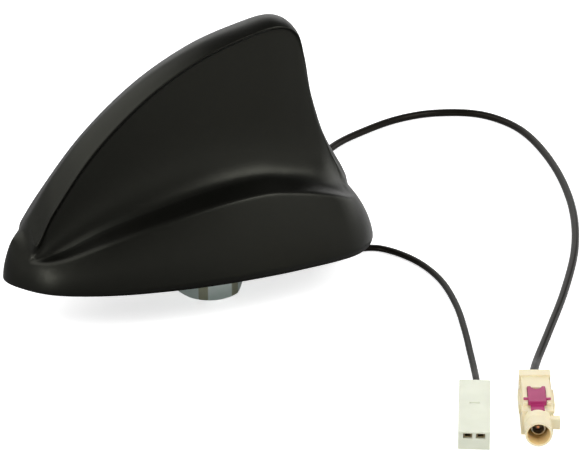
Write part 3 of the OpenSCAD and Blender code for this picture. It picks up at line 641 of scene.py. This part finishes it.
# Coaxial plug
# A cream moulding with a round barrel and side keys, locked by a magenta slide in its top. Inside are a
# plated shell tube, its insulator with the copper centre contact, and the ferrule crimped on the lead.
plug_cream = finish("plug_cream", (0.78, 0.69, 0.47), (0.84, 0.76, 0.54), roughness=0.42,
                    height=0.00002, patches=120)
tree, shader = inside(plug_cream)
shader.inputs["Subsurface Weight"].default_value = 0.25
shader.inputs["Subsurface Radius"].default_value = (0.0012, 0.0009, 0.0005)
# Painted bounce light makes the barrel's wall a deeper tan inside, found by its distance from the centre
# contact's axis
BORE_WALL = 3.8
BORE_BLEND = 0.15
BORE_BOUNCE_LIGHT_TAN = (0.95, 0.72, 0.36, 1)
contact = np.array([v.co[:] for v in nodes["coax_plug_pin"].data.vertices])
centre = contact.mean(axis=0)
barrel_axis = np.linalg.svd(contact - centre)[2][0]
cream = shader.inputs["Base Color"].links[0].from_socket
outside = ranged(tree, distance_from_axis(tree, centre, barrel_axis),
                 BORE_WALL * MM, (BORE_WALL + BORE_BLEND) * MM, 0, 1)
# Inside the bore the deeper tan is painted bounce light, and outside it the moulding keeps its cream
tree.links.new(mixed(tree, outside, BORE_BOUNCE_LIGHT_TAN, cream), shader.inputs["Base Color"])
plug_body = softened("coax_plug_body", "coax_plug_body_rounded", width=0.0003)
plug_body.data.materials.append(plug_cream)

lock_magenta = finish("lock_magenta", (0.34, 0.018, 0.11), (0.42, 0.035, 0.155), roughness=0.4,
                      height=0.00002, patches=150)
plug_lock = softened("coax_plug_lock", "coax_plug_lock_rounded", width=0.00015, segments=2)
plug_lock.data.materials.append(lock_magenta)

shell_plated = finish("shell_plated", (0.4, 0.34, 0.24), (0.5, 0.44, 0.33), roughness=0.28,
                      height=0.00001, metallic=1)
# The insulator's colour is darkened with painted shade for the shadow deep in the plug's mouth
insulator_painted_shade = finish("insulator_painted_shade", (0.16, 0.12, 0.08), (0.22, 0.17, 0.12), roughness=0.5,
                       height=0.00001)
wear(shell_plated, "coax_plug_shell")
wear(insulator_painted_shade, "coax_plug_insulator")
wear(contact_copper, "coax_plug_pin")
wear(zinc_plate, "coax_plug_ferrule")


# Two-way socket
# A milky natural nylon moulding with two slots in its front face. A folded brass receptacle sits back in
# each slot, on the ends of the thin lead.
socket_nylon = finish("socket_nylon", (0.69, 0.71, 0.59), (0.75, 0.77, 0.65), roughness=0.35,
                      height=0.00002, patches=100, grain=1500)
tree, shader = inside(socket_nylon)
shader.inputs["Subsurface Weight"].default_value = 0.5
shader.inputs["Subsurface Radius"].default_value = (0.003, 0.003, 0.0025)
socket = softened("socket_housing", "socket_housing_rounded", width=0.0003)
socket.data.materials.append(socket_nylon)

terminal_brass = finish("terminal_brass", (0.3, 0.23, 0.13), (0.38, 0.3, 0.18), roughness=0.35,
                        height=0.00001, metallic=1)
wear(terminal_brass, "socket_terminals")


# Table
# Plain matt paper, white to the camera. In reflections and in the light it gives back it is painted grey,
# with painted shade that makes it darker below the nose than behind the tail, as the satin plastic in the
# photograph shows it.
TABLE_Z = -16.0
TABLE_REACH = 6
SEEN_WHITE = (0.97, 0.97, 0.97, 1)
SEEN_GLOW = 0.62
GREY_FROM = -10
GREY_TO = 80
PAINTED_SHADE_GREY = 0.32
PAINTED_LIGHT_GREY = 0.74
table_mesh = bpy.data.meshes.new("table")
table_mesh.from_pydata([(x * TABLE_REACH, y * TABLE_REACH, TABLE_Z * MM)
                        for x, y in ((-1, -1), (1, -1), (1, 1), (-1, 1))], [], [(0, 1, 2, 3)])
table = new_object("table", table_mesh)
paper = bpy.data.materials.new("table_paper")
paper.use_nodes = True
tree = paper.node_tree
shader = tree.nodes["Principled BSDF"]
shader.inputs["Roughness"].default_value = 1.0
shader.inputs["Specular IOR Level"].default_value = 0.0
shader.inputs["Emission Color"].default_value = (1, 1, 1, 1)
seen = tree.nodes.new("ShaderNodeLightPath").outputs["Is Camera Ray"]
place = tree.nodes.new("ShaderNodeTexCoord")
apart = tree.nodes.new("ShaderNodeSeparateXYZ")
tree.links.new(place.outputs["Object"], apart.inputs["Vector"])
# Painted shade: the grey that rays other than the camera's see darkens from behind the tail towards the nose
grey = ranged(tree, apart.outputs["X"], GREY_FROM * MM, GREY_TO * MM, PAINTED_SHADE_GREY, PAINTED_LIGHT_GREY)
tree.links.new(mixed(tree, seen, grey, SEEN_WHITE), shader.inputs["Base Color"])
glow = tree.nodes.new("ShaderNodeMath")
glow.operation = "MULTIPLY"
glow.inputs[1].default_value = SEEN_GLOW
tree.links.new(seen, glow.inputs[0])
tree.links.new(glow.outputs["Value"], shader.inputs["Emission Strength"])
table_mesh.materials.append(paper)


# Light
# Two large soft boxes stand above the right and the left, and a backdrop behind. Three weaker ones stand
# low and draw the tail, the front and the nose. The room is light near the floor and dark overhead.
# Name, place, aim and size in metres, and power in watts
SOFT_BOXES = [
    ("right", (0.66, -0.86, 1.08), (0.02, 0, 0), (0.8, 0.8), 11),
    ("left", (-1.05, 0.15, 1.1), (0, 0, 0.03), (2.4, 1.2), 20.5),
    ("low right", (1.3, 0.05, 0.36), (0, 0, 0.03), (1.0, 0.66), 4.5),
    ("low front", (0.75, -1.4, 0.5), (0, 0, 0.03), (0.9, 0.5), 1.2),
    ("low left", (-1.4, -0.95, 0.13), (-0.05, 0, 0.01), (0.35, 0.3), 5),
    ("backdrop", (0.2, 1.6, 0.85), (0, 0, 0.1), (2.4, 0.9), 10)]
# How light the room is, by how far up one looks
ROOM = [(0, 0.8), (0.07, 0.68), (0.15, 0.2), (0.6, 0.08), (1, 0.08)]
ROOM_STRENGTH = 2.0
for name, position, aim, size, power in SOFT_BOXES:
    data = bpy.data.lights.new(name, "AREA")
    data.shape = "RECTANGLE"
    data.size, data.size_y = size
    data.energy = power
    obj = bpy.data.objects.new(name, data)
    obj.location = position
    obj.rotation_euler = (Vector(position) - Vector(aim)).to_track_quat("Z", "Y").to_euler()
    bpy.context.collection.objects.link(obj)

world = bpy.data.worlds.new("room")
world.use_nodes = True
tree = world.node_tree
place = tree.nodes.new("ShaderNodeTexCoord")
apart = tree.nodes.new("ShaderNodeSeparateXYZ")
ramp = tree.nodes.new("ShaderNodeValToRGB")
tree.links.new(place.outputs["Generated"], apart.inputs["Vector"])
tree.links.new(apart.outputs["Z"], ramp.inputs["Fac"])
for element, (position, grey) in zip(ramp.color_ramp.elements, (ROOM[0], ROOM[-1])):
    element.position = position
    element.color = (grey, grey, grey, 1)
for position, grey in ROOM[1:-1]:
    ramp.color_ramp.elements.new(position).color = (grey, grey, grey, 1)
tree.links.new(ramp.outputs["Color"], tree.nodes["Background"].inputs["Color"])
tree.nodes["Background"].inputs["Strength"].default_value = ROOM_STRENGTH
bpy.context.scene.world = world
